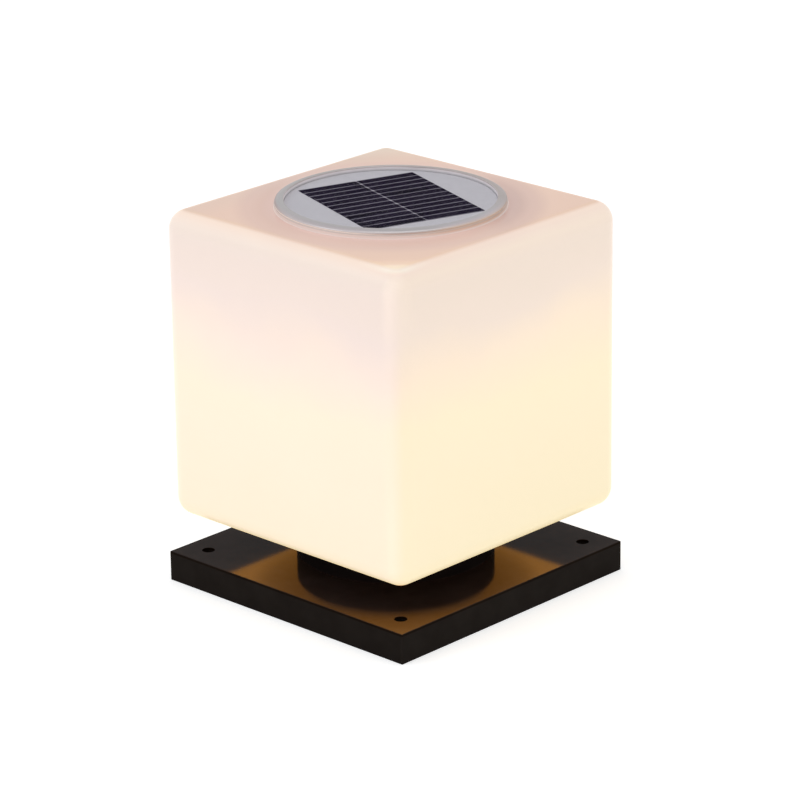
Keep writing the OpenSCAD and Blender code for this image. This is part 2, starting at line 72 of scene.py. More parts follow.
# Levels and radii of the shade in metres, and the turns of its bayonet in degrees, as the CAD
# part has them
half_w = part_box("shade")[1].x
shade_low = 44.4 * MM
shade_high = 243.0 * MM
shade_wall = 3.5 * MM
edge_r = 12.8 * MM
neck_r = 58.0 * MM
neck_in_r = 54.5 * MM
neck_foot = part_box("shade")[0].z
rim_r = 71.2 * MM
rim_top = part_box("shade")[1].z
hole_r = 66.8 * MM
notch_r = 68.8 * MM
notch_turns = (90, 210, 330)
notch_half = 10.3
lock_turn = 30
stop_turn = 3
stop_in_r = 67.1 * MM
stop_out_r = 70.5 * MM
stop_low = 236.6 * MM

# The cell field, which is turned in the panel
cell_turn = math.radians(-18.9)
strip_pitch = 7.85 * MM
finger_pitch = 1.5 * MM
finger_half = 0.04 * MM
bar_half = 0.5 * MM
solder_r = 0.85 * MM

# The camera stands where the photograph was taken from
camera_place = Vector((1.57032, -1.63551, 0.93382))
camera_target = Vector((0.00285, 0.00274, 0.11659))
camera_roll = math.radians(-0.80)
camera_lens = 175.2


# Nodes and materials

def grey(level):
    """A neutral colour."""
    return (level,) * 3


def node(tree, kind, settings=None, **inputs):
    """A shader node with its settings and the values of its inputs."""
    made = tree.nodes.new("ShaderNode" + kind)
    for key, value in (settings or {}).items():
        setattr(made, key, value)
    for key, value in inputs.items():
        made.inputs[key.replace("_", " ")].default_value = value
    return made


def new_material(name, **sockets):
    """A material with one Principled shader, and its sockets set by name."""
    made = bpy.data.materials.new(name)
    made.use_nodes = True
    shader = made.node_tree.nodes["Principled BSDF"]
    for key, value in sockets.items():
        socket = shader.inputs[key.replace("_", " ")]
        socket.default_value = (*value, 1.0) if isinstance(value, tuple) else value
    return made


def shader_of(material):
    """The material's Principled shader."""
    return material.node_tree.nodes["Principled BSDF"]


def place_of(material):
    """The object coordinates, which stay with the piece as it moves."""
    tree = material.node_tree
    found = tree.nodes.get("Texture Coordinate") or node(tree, "TexCoord")
    return found.outputs["Object"]


def noise(material, size, detail=3.0, roughness=0.5):
    """A noise whose features are about size metres across."""
    tree = material.node_tree
    made = node(tree, "TexNoise", Scale=1.0 / size, Detail=detail, Roughness=roughness)
    tree.links.new(place_of(material), made.inputs["Vector"])
    return made.outputs["Fac"]


def ramp(material, source, stops):
    """A colour ramp over source with stops of (position, colour)."""
    tree = material.node_tree
    made = node(tree, "ValToRGB")
    bar = made.color_ramp
    for i, (position, colour) in enumerate(stops):
        stop = bar.elements[i] if i < 2 else bar.elements.new(position)
        stop.position = position
        stop.color = (*colour, 1.0)
    tree.links.new(source, made.inputs["Fac"])
    return made.outputs["Color"]


def along(material, direction):
    """How far a point lies along a direction of the piece, in metres."""
    made = node(material.node_tree, "VectorMath", {"operation": "DOT_PRODUCT"})
    made.inputs[1].default_value = direction
    material.node_tree.links.new(place_of(material), made.inputs[0])
    return made.outputs["Value"]


def from_axis(material):
    """How far a point lies from the vertical axis, in metres."""
    tree = material.node_tree
    flat = node(tree, "VectorMath", {"operation": "MULTIPLY"})
    flat.inputs[1].default_value = (1.0, 1.0, 0.0)
    tree.links.new(place_of(material), flat.inputs[0])
    made = node(tree, "VectorMath", {"operation": "LENGTH"})
    tree.links.new(flat.outputs["Vector"], made.inputs[0])
    return made.outputs["Value"]


def by(material, source, low, high, stops):
    """A ramp over source, which is in metres, with its ends and its stops in millimetres."""
    scaled = span(material, source, 0.0, 1.0, low * MM, high * MM)
    return ramp(material, scaled, [((at - low) / (high - low), colour) for at, colour in stops])


def mixed(material, blend, first, second, factor=1.0):
    """Two colours blended, and each of them and the factor is a socket or a value."""
    mix = node(material.node_tree, "Mix", {"data_type": "RGBA", "blend_type": blend})
    for key, value in (("Factor", factor), ("A", first), ("B", second)):
        socket = [i for i in mix.inputs if i.name == key and i.enabled][0]
        if isinstance(value, float):
            socket.default_value = value
        elif isinstance(value, tuple):
            socket.default_value = (*value, 1.0)
        else:
            material.node_tree.links.new(value, socket)
    return [o for o in mix.outputs if o.enabled][0]


def times(material, first, second):
    """Two numbers multiplied."""
    made = node(material.node_tree, "Math", {"operation": "MULTIPLY"})
    material.node_tree.links.new(first, made.inputs[0])
    material.node_tree.links.new(second, made.inputs[1])
    return made.outputs["Value"]


def mottle(material, low, high, size, detail=3.0):
    """The base colour wanders between low and high."""
    colour = ramp(material, noise(material, size, detail), [(0.3, low), (0.7, high)])
    material.node_tree.links.new(colour, shader_of(material).inputs["Base Color"])
    return colour


def span(material, source, low, high, start=0.3, end=0.7):
    """Source, taken from start to end, as a number from low to high."""
    tree = material.node_tree
    made = node(tree, "MapRange", From_Min=start, From_Max=end, To_Min=low, To_Max=high)
    tree.links.new(source, made.inputs["Value"])
    return made.outputs["Result"]


def uneven_gloss(material, low, high, size):
    """The roughness wanders between low and high."""
    level = span(material, noise(material, size), low, high)
    material.node_tree.links.new(level, shader_of(material).inputs["Roughness"])


def grain(material, layers):
    """Bumps from layers of (size, height), in metres."""
    tree = material.node_tree
    normal = None
    for size, height in layers:
        bump = node(tree, "Bump", Strength=1.0, Distance=height)
        tree.links.new(noise(material, size), bump.inputs["Height"])
        if normal:
            tree.links.new(normal, bump.inputs["Normal"])
        normal = bump.outputs["Normal"]
    tree.links.new(normal, shader_of(material).inputs["Normal"])


def cast_black():
    """Black powder coat over a casting, with a fine orange peel. Painted shade darkens the plate below
    its top face, lays a brown painted dark reflection just under its top edge, and makes the collar
    darker and cooler; all but the plate's right side face is painted a little darker."""
    made = new_material("cast_black", Specular_IOR_Level=0.013)
    coat = mottle(made, (0.0272, 0.0194, 0.0175), (0.0336, 0.0249, 0.0230), 12 * MM, 1.0)
    # Painted shade: all but the plate's right side face is a little darker.
    painted_shade_but_right_face = by(made, along(made, (1, 0, 0)), 95, 100, [(98, (0.80, 0.76, 0.74)), (99.5, WHITE)])
    # Painted shade by height: darker sides and underside, a brown painted dark reflection just under the
    # top edge, and a darker, cooler collar.
    edge = by(made, along(made, UP), 15, 40, [
        (17.6, (0.714, 0.769, 0.704)), (18.2, (0.393, 0.269, 0.106)), (18.9, (0.393, 0.269, 0.106)),
        (19.25, WHITE), (19.5, WHITE), (20.5, (0.56, 0.66, 0.72))])
    coat_and_painted_shade = mixed(made, "MULTIPLY", mixed(made, "MULTIPLY", coat, painted_shade_but_right_face), edge)
    made.node_tree.links.new(coat_and_painted_shade, shader_of(made).inputs["Base Color"])
    uneven_gloss(made, 0.085, 0.11, 20 * MM)
    grain(made, [(1.6 * MM, 0.0012 * MM)])
    return made


def opal_colour(made, radius, crown):
    """The glass's colour with painted shade: darker round the ring, with a painted shadow beside the ring
    to its right and left, and painted cooler light on the top's left; the top is a little warmer toward its
    edges.
    """
    # Painted shade round the ring: the top is darker out to about 90 mm from the middle.
    body = by(made, radius, 60, 140, [(72, (0.745, 0.585, 0.535)), (80, (0.745, 0.565, 0.485)),
                                      (88, (0.735, 0.555, 0.470)), (97, (0.785, 0.600, 0.490)),
                                      (100, (0.790, 0.605, 0.495))])
    cloud = ramp(made, noise(made, 70 * MM, 2.0), [(0.3, (0.985, 0.98, 0.975)), (0.7, WHITE)])
    body = mixed(made, "MULTIPLY", body, cloud)
    # Painted cooler light on the top's left.
    left = by(made, along(made, (1, 0, 0)), -100, 0, [
        (-90, (0.920, 0.965, 1.0)), (-65, (0.990, 0.990, 1.0)), (-30, WHITE)])
    body = mixed(made, "MULTIPLY", body, left, crown)
    rim_of_top = by(made, radius, 60, 140, [(88, WHITE), (102, (1.0, 0.985, 0.955))])
    body = mixed(made, "MULTIPLY", body, rim_of_top, crown)
    # Painted shadow beside the ring, to its right and left, fading out by about 98 mm from the middle.
    painted_shadow_reach = by(made, radius, 60, 140, [
        (79, WHITE), (82, grey(0.75)), (86, grey(0.42)), (90, grey(0.35)), (98, BLACK)])
    beside = by(made, along(made, RIGHT), -80, 80, [
        (-72, (0.88, 0.86, 0.84)), (-55, grey(0.97)), (-45, WHITE), (42, WHITE),
        (56, (0.92, 0.935, 0.935)), (69, (0.76, 0.76, 0.77)), (78, (0.74, 0.74, 0.76))])
    shaded = mixed(made, "MIX", WHITE, beside, painted_shadow_reach)
    return mixed(made, "MULTIPLY", body, shaded, crown)


def opal_glow(made, height, forward):
    """The glow by the height: amber at the foot, pale and cloudy over the sides, and dim at the
    rim."""
    tree = made.node_tree
    drift = span(made, noise(made, 80 * MM, 2.0, 0.6), -9 * MM, 9 * MM)
    free = by(made, height, 40, 250, [(60, BLACK), (95, WHITE), (205, WHITE), (232, BLACK)])
    cloudy = node(tree, "Math", {"operation": "ADD"})
    tree.links.new(height, cloudy.inputs[0])
    tree.links.new(times(made, drift, free), cloudy.inputs[1])
    bottom = by(made, height, 44, 50, [
        (44.6, (0.70, 0.48, 0.24)),
        (45.0, (1.00, 0.40, 0.07)),
        (45.3, (1.00, 0.40, 0.07)),
        (46.2, (0.735, 0.490, 0.210)),
        (47.1, (0.604, 0.520, 0.273)),
        (49, (0.55, 0.485, 0.285)),
    ])
    sides = by(made, cloudy.outputs["Value"], 49, 240, [
        (49, (0.55, 0.485, 0.285)),
        (58, (0.53, 0.485, 0.320)),
        (110, (0.55, 0.50, 0.345)),
        (140, (0.56, 0.51, 0.350)),
        (172, (0.53, 0.46, 0.370)),
        (200, (0.43, 0.395, 0.380)),
        (222, (0.41, 0.380, 0.365)),
        (230, (0.405, 0.380, 0.365)),
        (236, (0.365, 0.355, 0.335)),
        (239, (0.347, 0.327, 0.306)),
    ])
    top_edge = by(made, height, 239, 246, [
        (239.1, (0.347, 0.327, 0.306)),
        (240.5, (0.337, 0.305, 0.282)),
        (241.3, (0.330, 0.294, 0.264)),
        (241.9, (0.319, 0.273, 0.245)),
        (242.4, (0.235, 0.185, 0.151)),
        (242.72, (0.151, 0.103, 0.067)),
        (242.93, (0.134, 0.086, 0.054)),
        (242.98, (0.112, 0.059, 0.042)),
        (243.05, (0.112, 0.059, 0.042)),
        (243.3, (0.180, 0.190, 0.180)),
        (244.9, (0.180, 0.190, 0.180)),
        (245.3, (0.030, 0.085, 0.085)),
        (245.9, (0.000, 0.047, 0.050)),
    ])
    sides = mixed(made, "MIX", bottom, sides, span(made, height, 0.0, 1.0, 49.0 * MM, 49.5 * MM))
    at_rim = times(made, span(made, height, 0.0, 1.0, 243.6 * MM, 244.6 * MM),
                   span(made, forward, 0.0, 1.0, 5 * MM, 35 * MM))
    at_rim = times(made, at_rim, span(made, along(made, RIGHT), 0.0, 1.0, 8 * MM, 36 * MM))
    top_edge = mixed(made, "MULTIPLY", top_edge, (0.72, 0.45, 0.20), at_rim)
    return mixed(made, "MIX", sides, top_edge, span(made, height, 0.0, 1.0, 238.9 * MM, 239.1 * MM))


def opal_edges(made, height, forward, crown):
    """Painted highlights and painted light added to the glow: over the top, strongest at its front
    corner, down the rounded front edge and along the top edge there, and over the left and right faces."""
    x_way = along(made, (1, 0, 0))
    # Painted highlight over the top, strongest at its front corner and bluish at the back.
    on_top = by(made, forward, -130, 130, [
        (-122, (0.03, 0.06, 0.05)), (-100, BLACK), (-85, (0.020, 0.0, 0.0)), (90, (0.020, 0.0, 0.0)),
        (104, (0.03, 0.005, 0.0)), (111, (0.045, 0.015, 0.0)), (115, (0.090, 0.055, 0.020)),
        (118.5, (0.107, 0.077, 0.042)), (121, (0.167, 0.171, 0.119)), (124, (0.170, 0.198, 0.148)),
        (126, (0.200, 0.240, 0.190))])
    # Painted highlight down the rounded front edge, less to the right, strongest high up.
    on_front = by(made, forward, 100, 140, [(131, BLACK), (134.5, (0.100, 0.085, 0.060))])
    less_right = by(made, x_way, 90, 100, [(93, WHITE), (98, grey(0.35))])
    on_front = mixed(made, "MULTIPLY", on_front, less_right)
    by_height = by(made, height, 40, 240, [
        (80, grey(0.65)), (130, grey(0.30)), (180, grey(0.25)), (230, WHITE)])
    on_front = mixed(made, "MULTIPLY", on_front, by_height)
    # Painted cool light over the left face, strongest low down.
    on_left = by(made, along(made, (0, 1, 0)), -100, -90, [(-98.5, (0.0, 0.0, 0.040)), (-94, BLACK)])
    on_left = mixed(made, "MIX", BLACK, on_left, span(made, height, 1.0, 0.2, 170 * MM, 210 * MM))
    # Painted warm light over the right face, its colour changing with the height.
    on_right = by(made, x_way, 90, 100, [(94, BLACK), (98.5, (0.035, 0.035, 0.005))])
    low_right = by(made, x_way, 90, 100, [(94, BLACK), (98.5, (0.0, 0.025, 0.005))])
    on_right = mixed(made, "MIX", low_right, on_right, span(made, height, 0.0, 1.0, 150 * MM, 175 * MM))
    high_right = by(made, x_way, 90, 100, [(94, BLACK), (98.5, (0.060, 0.042, 0.010))])
    on_right = mixed(made, "MIX", on_right, high_right, span(made, height, 0.0, 1.0, 226 * MM, 236 * MM))
    # Painted highlight along the top edge at the front corner.
    crest = by(made, forward, 100, 140, [
        (108, BLACK), (120, (0.015, 0.05, 0.05)), (126, (0.030, 0.10, 0.10)),
        (128.5, (0.015, 0.08, 0.07)), (130.5, (0.030, 0.020, 0.005)), (132, BLACK)])
    crest = mixed(made, "MIX", BLACK, crest, span(made, height, 0.0, 1.0, 240.0 * MM, 241.6 * MM))
    on_front = mixed(made, "ADD", on_front, crest)
    extra = mixed(made, "ADD", on_front, mixed(made, "ADD", on_left, on_right))
    return mixed(made, "MIX", extra, on_top, crown)


def opal_mirror(made, height, radius, forward):
    """Where a ray sees the underside in the black plate, and how strongly the glass glows for each
    ray. The flat underside hardly lights the plate, which is nearly black in the photograph."""
    mirror_strength, flat_strength = 18.0, 0.15
    tree = made.node_tree
    below = span(made, height, 1.0, 0.0, 46.2 * MM, 49.0 * MM)
    path = node(tree, "LightPath")
    first = node(tree, "Math", {"operation": "LESS_THAN"})
    first.inputs[1].default_value = 1.5
    tree.links.new(path.outputs["Glossy Depth"], first.inputs[0])
    mirrored = times(made, below, times(made, path.outputs["Is Glossy Ray"], first.outputs["Value"]))
    boost = by(made, radius, 50, 120, [
        (56, grey(0.10)), (59, grey(0.28)), (66, grey(0.33)), (75, grey(0.42)), (81, grey(0.49)),
        (87, grey(0.65)), (93, grey(0.85)), (105, grey(0.89)), (116, grey(0.75))])
    up_neck = by(made, height, 38, 46, [
        (39.5, grey(0.06)), (41, grey(0.20)), (42, grey(0.55)), (43, grey(0.83)), (44, grey(0.96))])
    to_front = by(made, forward, 0, 100, [(42, grey(0.65)), (60, WHITE)])
    boost = times(made, boost, times(made, up_neck, to_front))
    strength = span(made, times(made, boost, mirrored), 1.0, mirror_strength, 0.0, 1.0)
    flat = span(made, height, 1.0, 0.0, 44.8 * MM, 46.0 * MM)
    unlit = span(made, times(made, flat, path.outputs["Is Diffuse Ray"]), 1.0, flat_strength, 0.0, 1.0)
    return mirrored, times(made, strength, unlit)


def opal():
    """Opal glass lit from inside: its colour and its glow go by the height and by the distance
    from the middle. The mirror image of the underside in the black plate is brighter than the
    underside itself, as the lamp shines straight down there."""
    made = new_material("opal", Roughness=0.30, Specular_IOR_Level=0.2)
    links, sockets = made.node_tree.links, shader_of(made).inputs
    height = along(made, UP)
    radius = from_axis(made)
    forward = along(made, FRONT)
    crown = span(made, height, 0.0, 1.0, 242.2 * MM, 242.8 * MM)
    links.new(opal_colour(made, radius, crown), sockets["Base Color"])
    seen = mixed(made, "ADD", opal_glow(made, height, forward), opal_edges(made, height, forward, crown))
    mirrored, strength = opal_mirror(made, height, radius, forward)
    links.new(strength, sockets["Emission Strength"])
    amber = by(made, radius, 50, 120, [(60, (1.0, 0.370, 0.025)), (90, (1.03, 0.435, 0.075))])
    glow = mixed(made, "MIX", seen, amber, mirrored)
    links.new(glow, sockets["Emission Color"])
    grain(made, [(45 * MM, 0.05 * MM), (1.4 * MM, 0.002 * MM)])
    return made


def silver():
    """Satin silver-grey paint on the bezel, with painted light and shade: a painted pink reflection of
    the shade's top on the right and along the far left edge, painted shade on the far side, an inner
    wall painted palest at half height with a painted glow, and painted light from the shade along the
    foot of its outer wall in front, warmer to the right."""
    made = new_material("silver_bezel", Roughness=0.30, Metallic=0.5, Specular_IOR_Level=0.1,
                        Emission_Strength=1.0)
    tree = made.node_tree
    height = along(made, UP)
    radius = from_axis(made)
    rightward = along(made, RIGHT)
    paint = mottle(made, (0.40, 0.385, 0.385), (0.44, 0.425, 0.425), 0.7 * MM)
    # Painted pink reflection of the shade's top on the right, nearly neutral in front.
    pink_reflection = by(made, rightward, -75, 75, [(0, WHITE), (60, (0.98, 0.90, 0.87))])
    forward = along(made, FRONT)
    # Painted shade on the far side of the ring, and at its low outer edge there.
    away = by(made, forward, -75, 75, [(-60, (0.80, 0.76, 0.74)), (-20, (0.92, 0.90, 0.90)), (25, WHITE)])
    far_edge_shade = by(made, height, 246, 248.5, [(246.4, (0.85, 0.76, 0.74)), (247.4, WHITE)])
    near = span(made, forward, 0.0, 1.0, 5 * MM, 35 * MM)
    far = span(made, forward, 1.0, 0.0, 5 * MM, 35 * MM)
    pink_reflection = mixed(made, "MIX", pink_reflection, (1.0, 0.985, 0.995), near)
    away = mixed(made, "MULTIPLY", away, mixed(made, "MIX", far_edge_shade, WHITE, near))
    outside = mixed(made, "MULTIPLY", mixed(made, "MULTIPLY", paint, pink_reflection), away)
    # Painted pink reflection along the outer edge on the far left.
    left_rim_reflection = by(made, radius, 65, 75, [(69.3, WHITE), (70.2, (0.94, 0.80, 0.79))])
    at_left = times(made, span(made, rightward, 1.0, 0.0, -55 * MM, -35 * MM), far)
    outside = mixed(made, "MULTIPLY", outside, left_rim_reflection, at_left)
    # Inner wall painted palest at half height, with painted shade at its foot and its top.
    wall = by(made, height, 245, 249, [
        (245.6, (0.45, 0.43, 0.45)), (246.4, (0.60, 0.57, 0.59)), (247.1, (0.70, 0.66, 0.67)),
        (247.7, (0.60, 0.55, 0.55)), (248.1, (0.45, 0.40, 0.39))])
    inside = span(made, radius, 1.0, 0.0, 65.35 * MM, 65.55 * MM)
    tree.links.new(mixed(made, "MIX", outside, wall, inside), shader_of(made).inputs["Base Color"])

    # Painted glow on the inner wall.
    wall_glow = by(made, height, 245, 249, [
        (245.7, grey(0.10)), (246.4, (0.15, 0.14, 0.14)), (247.1, (0.20, 0.18, 0.18)),
        (247.7, (0.13, 0.11, 0.11)), (248.1, (0.05, 0.04, 0.04))])
    # Painted light from the shade along the foot of the outer wall in front, warmer to the right.
    left_glow = by(made, height, 246, 248.5, [
        (246.3, (0.27, 0.23, 0.22)), (246.8, (0.19, 0.155, 0.155)), (247.3, (0.10, 0.075, 0.08)),
        (247.9, (0.025, 0.01, 0.02)), (248.2, BLACK)])
    front_glow = by(made, height, 246, 248.5, [
        (246.3, (0.26, 0.175, 0.145)), (246.8, (0.10, 0.07, 0.06)), (247.3, BLACK)])
    right_glow = by(made, height, 246, 248.5, [
        (246.3, (0.28, 0.17, 0.08)), (246.8, (0.21, 0.115, 0.055)), (247.3, (0.14, 0.085, 0.065)),
        (247.9, (0.07, 0.05, 0.07)), (248.2, (0.01, 0.01, 0.02))])
    edge_glow = mixed(made, "MIX", left_glow, front_glow, span(made, rightward, 0.0, 1.0, -22 * MM, 2 * MM))
    edge_glow = mixed(made, "MIX", edge_glow, right_glow, span(made, rightward, 0.0, 1.0, 20 * MM, 36 * MM))
    edge_glow = mixed(made, "MIX", BLACK, edge_glow, near)
    glow = mixed(made, "MIX", edge_glow, wall_glow, inside)
    tree.links.new(glow, shader_of(made).inputs["Emission Color"])
    grain(made, [(0.5 * MM, 0.003 * MM)])
    return made


def panel_board():
    """Pale solder mask round the cells."""
    made = new_material("panel_white", Roughness=0.5, Specular_IOR_Level=0.02)
    mottle(made, (0.580, 0.560, 0.600), (0.610, 0.590, 0.630), 5 * MM)
    grain(made, [(0.8 * MM, 0.004 * MM)])
    return made


def field_place(material):
    """Along the strips' pitch from the nearest gap, and along the strips from the middle gap."""
    tree = material.node_tree
    across = (math.cos(cell_turn), math.sin(cell_turn), 0)
    lengthwise = (-math.sin(cell_turn), math.cos(cell_turn), 0)
    from_gap = node(tree, "Math", {"operation": "PINGPONG"})
    from_gap.inputs[1].default_value = strip_pitch / 2
    tree.links.new(along(material, across), from_gap.inputs[0])
    return from_gap.outputs["Value"], along(material, lengthwise)


def solder_spots(material, radius):
    """One where the lines between the strips cross the middle gap, nought elsewhere."""
    tree = material.node_tree
    from_gap, lengthwise = field_place(material)
    flat = node(tree, "CombineXYZ")
    tree.links.new(from_gap, flat.inputs["X"])
    tree.links.new(lengthwise, flat.inputs["Y"])
    away = node(tree, "VectorMath", {"operation": "LENGTH"})
    tree.links.new(flat.outputs["Vector"], away.inputs[0])
    return span(material, away.outputs["Value"], 1.0, 0.0, radius, radius + 0.3 * MM)


def cell_silicon():
    """Dark silicon, a little different in each strip, with a printed bar along each strip's edges
    and fine metal fingers across it."""
    made = new_material("solar_cell", Roughness=0.3, Specular_IOR_Level=0.0)
    tree = made.node_tree
    from_gap, lengthwise = field_place(made)
    island = node(tree, "NewGeometry").outputs["Random Per Island"]
    strip = ramp(made, island, [(0.0, (0.012, 0.008, 0.020)), (1.0, (0.019, 0.014, 0.029))])
    crystal = ramp(made, noise(made, 3 * MM, 2.0), [(0.35, (0.7, 0.7, 0.75)), (0.65, (1.25, 1.2, 1.3))])
    colour = mixed(made, "MULTIPLY", strip, crystal)
    from_finger = node(tree, "Math", {"operation": "PINGPONG"})
    from_finger.inputs[1].default_value = finger_pitch / 2
    tree.links.new(lengthwise, from_finger.inputs[0])
    fingers = span(made, from_finger.outputs["Value"], 1.0, 0.0, finger_half, finger_half + 0.03 * MM)
    colour = mixed(made, "MIX", colour, (0.050, 0.043, 0.060), fingers)
    bars = span(made, from_gap, 1.0, 0.0, bar_half, bar_half + 0.12 * MM)
    colour = mixed(made, "MIX", colour, (0.240, 0.225, 0.275), bars)
    colour = mixed(made, "MIX", colour, (0.44, 0.41, 0.47), solder_spots(made, solder_r))
    tree.links.new(colour, shader_of(made).inputs["Base Color"])
    return made


def tinned():
    """Tinned copper ribbon, dull between the strips and bright at the soldered crossings."""
    made = new_material("ribbon", Roughness=0.4, Specular_IOR_Level=0.03)
    dull = mottle(made, (0.200, 0.185, 0.230), (0.260, 0.240, 0.290), 1.5 * MM)
    colour = mixed(made, "MIX", dull, (0.52, 0.49, 0.55), solder_spots(made, solder_r))
    made.node_tree.links.new(colour, shader_of(made).inputs["Base Color"])
    return made


def clear_cover():
    """Clear anti-reflective glass: what is under it shows, with a faint sheen."""
    made = new_material("clear_cover", Alpha=0.01, Specular_IOR_Level=0.2)
    mottle(made, (0.36, 0.36, 0.38), (0.40, 0.40, 0.42), 8 * MM)
    uneven_gloss(made, 0.06, 0.10, 10 * MM)
    return made


def moulded(name, low, high, roughness=0.5):
    """Moulded plastic with a fine spark-eroded texture."""
    made = new_material(name, Roughness=roughness, Specular_IOR_Level=0.4)
    mottle(made, low, high, 1.2 * MM, 1.0)
    grain(made, [(0.5 * MM, 0.01 * MM)])
    return made


def rubber():
    """Matte black rubber."""
    made = new_material("rubber_black", Roughness=0.7, Specular_IOR_Level=0.25)
    mottle(made, grey(0.012), grey(0.022), 2 * MM)
    grain(made, [(0.4 * MM, 0.006 * MM)])
    return made


def silicone():
    """Translucent silicone with a painted glow of the shade's light, brightest on the left and dimmest in
    front."""
    made = moulded("silicone_pale", (0.48, 0.42, 0.39), (0.54, 0.48, 0.45))
    # Painted glow of the shade's light, brightest on the left and dimmest in front.
    lit = by(made, along(made, RIGHT), -75, 75, [
        (-55, (0.43, 0.34, 0.29)), (-24, (0.44, 0.37, 0.32)), (0, (0.11, 0.04, 0.02)),
        (40, (0.18, 0.10, 0.055)), (60, (0.24, 0.14, 0.08))])
    made.node_tree.links.new(lit, shader_of(made).inputs["Emission Color"])
    shader_of(made).inputs["Emission Strength"].default_value = 1.0
    return made


def steel():
    """Zinc-plated steel."""
    made = new_material("steel", Roughness=0.32, Metallic=1.0)
    mottle(made, (0.48, 0.48, 0.47), (0.62, 0.62, 0.61), 0.6 * MM)
    grain(made, [(0.3 * MM, 0.003 * MM)])
    return made


# Meshes

sharp_angle = math.radians(35)
bevel_angle = math.radians(40)
flat_angle = math.radians(0.6)


def finish_piece(name, bm, material, body, replaced):
    """The mesh as a piece on a body, smooth over its curves and crisp at its edges."""
    bmesh.ops.remove_doubles(bm, verts=bm.verts, dist=1e-7)
    bmesh.ops.dissolve_degenerate(bm, edges=bm.edges, dist=1e-7)
    bmesh.ops.recalc_face_normals(bm, faces=bm.faces)
    mesh = bpy.data.meshes.new(name)
    bm.to_mesh(mesh)
    bm.free()
    mesh.shade_smooth()
    mesh.set_sharp_from_angle(angle=sharp_angle)
    piece = bpy.data.objects.new(name, mesh)
    bpy.context.scene.collection.objects.link(piece)
    piece.data.materials.append(material)
    weigh = piece.modifiers.new("even_normals", "WEIGHTED_NORMAL")
    weigh.keep_sharp = True
    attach(piece, body)
    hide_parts(*replaced)


def join_rings(bm, rings, closed):
    """Faces between neighbouring rings of the same number of points, and the rings as vertices."""
    rows = [[bm.verts.new(p) for p in ring] for ring in rings]
    pairs = list(zip(rows, rows[1:])) + ([(rows[-1], rows[0])] if closed else [])
    for a, b in pairs:
        for i in range(len(a)):
            j = (i + 1) % len(a)
            bm.faces.new((a[i], a[j], b[j], b[i]))
    return rows


def soft_outline(corners):
    """A closed outline of (r, z, radius) corners, in metres, each rounded by its radius."""
    steps = 4
    points = []
    count = len(corners)
    for i, (r, z, radius) in enumerate(corners):
        here = Vector((r, z))
        before = (Vector(corners[i - 1][:2]) - here).normalized()
        after = (Vector(corners[(i + 1) % count][:2]) - here).normalized()
        if radius <= 0:
            points.append(here)
            continue
        half = before.angle(after) / 2
        centre = here + (before + after).normalized() * radius / math.sin(half)
        start = here + before * radius / math.tan(half) - centre
        end = here + after * radius / math.tan(half) - centre
        turn = start.angle_signed(end)
        for k in range(steps + 1):
            points.append(centre + Matrix.Rotation(-turn * k / steps, 2) @ start)
    return points


def lathe(name, corners, material, body, replaced, segments):
    """A closed outline turned about the vertical axis."""
    outline = soft_outline(corners)
    bm = bmesh.new()
    turns = [2 * math.pi * k / segments for k in range(segments)]
    join_rings(bm, [[Vector((p.x * math.cos(t), p.x * math.sin(t), p.y)) for t in turns]
                    for p in outline], closed=True)
    finish_piece(name, bm, material, body, replaced)


def shade_places():
    """Where the shade's points stand round it: along each side, then round each corner. Two stand
    close together at each edge of a notch, which is in a side's middle or 30 degrees from it."""
    straight = half_w - edge_r
    aside = 0.15
    side_turns = {float(a) for a in range(-40, 41, 4)}
    for turn in (notch_half, 30 - notch_half, 30 + notch_half):
        side_turns |= {turn - aside, turn + aside, -turn - aside, -turn + aside}
    places = []
    for quarter in range(4):
        for turn in sorted(side_turns):
            places.append((quarter, half_w * math.tan(math.radians(turn)), None))
        for k in range(13):
            places.append((quarter, straight, math.radians(90 * k / 12)))
    return places


def add_stop(bm, start, ceiling):
    """A block under the ceiling that a lug comes up against."""
    edge = 0.25 * MM
    steps = 3
    corners = [(stop_in_r + edge, stop_low), (stop_in_r, stop_low + edge), (stop_in_r, ceiling + edge),
               (stop_out_r, ceiling + edge), (stop_out_r, stop_low + edge), (stop_out_r - edge, stop_low)]
    turns = [math.radians(start + stop_turn * k / steps) for k in range(steps + 1)]
    rows = join_rings(bm, [[(r * math.cos(t), r * math.sin(t), z) for r, z in corners] for t in turns],
                      closed=False)
    bm.faces.new(rows[0])
    bm.faces.new(reversed(rows[-1]))


